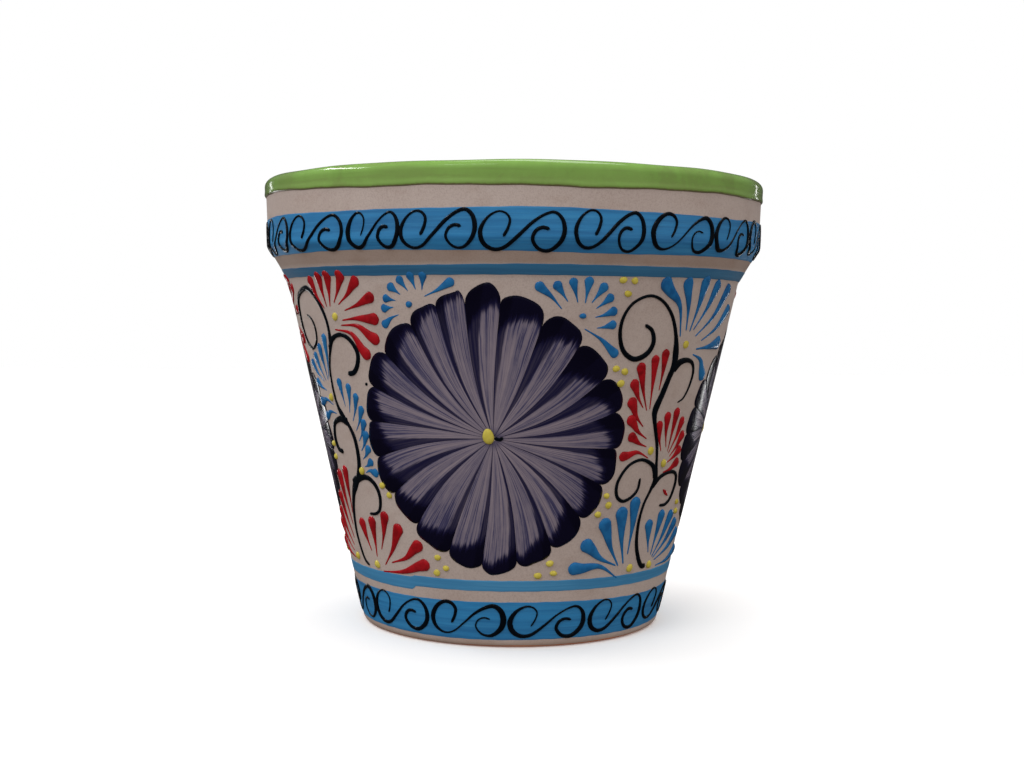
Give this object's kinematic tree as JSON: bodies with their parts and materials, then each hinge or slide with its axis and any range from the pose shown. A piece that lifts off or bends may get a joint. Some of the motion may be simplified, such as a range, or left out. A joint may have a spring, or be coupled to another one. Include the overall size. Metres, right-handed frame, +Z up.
{
  "type": "flower pot",
  "caption": "Hand-painted clay flower pot: a tapered body with a collar rim and a drain hole, slip-coated and decorated with flowers, enamel scrolls and colour bands.",
  "frame": {"origin": "centre of the foot's underside, on the pot's axis", "axes": "+Z up along the pot's axis; -Y is the side with the large front flower; +X is to that viewer's right"},
  "size_m": [0.2544, 0.2546, 0.222],
  "materials": {
    "clay": "bare fired terracotta, matt and slightly sandy",
    "slip": "pinkish cream slip, matt with a fine sandy grain",
    "rim_green": "lime green glaze, glossy, olive where it is thin",
    "band_blue": "brushed blue paint, satin, with fine brush streaks round the pot",
    "stripe_blue": "brushed blue paint, satin",
    "sky_blue": "lighter blue paint, satin, brushed",
    "flower_violet": "violet grey to navy brush strokes, one for each petal, satin",
    "black_enamel": "raised black enamel, glossy",
    "yellow_enamel": "raised yellow enamel, glossy",
    "red_enamel": "raised red enamel drops, glossy",
    "blue_enamel": "raised blue enamel drops, glossy"
  },
  "bodies": {
    "root": {"clay_body": "clay", "slip_coat": "slip", "rim_glaze": "rim_green", "collar_band": "band_blue", "neck_stripe": "stripe_blue", "foot_stripe": "sky_blue", "foot_band": "band_blue", "front_flower": "flower_violet", "front_flower_centre": "yellow_enamel", "right_flower": "flower_violet", "right_flower_centre": "yellow_enamel", "back_flower": "flower_violet", "back_flower_centre": "yellow_enamel", "left_flower": "flower_violet", "left_flower_centre": "yellow_enamel", "front_left_vine": "black_enamel", "front_right_vine": "black_enamel", "back_right_vine": "black_enamel", "back_left_vine": "black_enamel", "collar_scroll_01": "black_enamel", "collar_scroll_02": "black_enamel", "collar_scroll_03": "black_enamel", "collar_scroll_04": "black_enamel", "collar_scroll_05": "black_enamel", "collar_scroll_06": "black_enamel", "collar_scroll_07": "black_enamel", "collar_scroll_08": "black_enamel", "collar_scroll_09": "black_enamel", "collar_scroll_10": "black_enamel", "collar_scroll_11": "black_enamel", "collar_scroll_12": "black_enamel", "collar_scroll_13": "black_enamel", "collar_scroll_14": "black_enamel", "collar_scroll_15": "black_enamel", "collar_scroll_16": "black_enamel", "collar_scroll_17": "black_enamel", "collar_scroll_18": "black_enamel", "collar_scroll_19": "black_enamel", "collar_scroll_20": "black_enamel", "collar_scroll_21": "black_enamel", "foot_scroll_01": "black_enamel", "foot_scroll_02": "black_enamel", "foot_scroll_03": "black_enamel", "foot_scroll_04": "black_enamel", "foot_scroll_05": "black_enamel", "foot_scroll_06": "black_enamel", "foot_scroll_07": "black_enamel", "foot_scroll_08": "black_enamel", "foot_scroll_09": "black_enamel", "foot_scroll_10": "black_enamel", "foot_scroll_11": "black_enamel", "foot_scroll_12": "black_enamel", "foot_scroll_13": "black_enamel"}
  },
  "joints": []
}
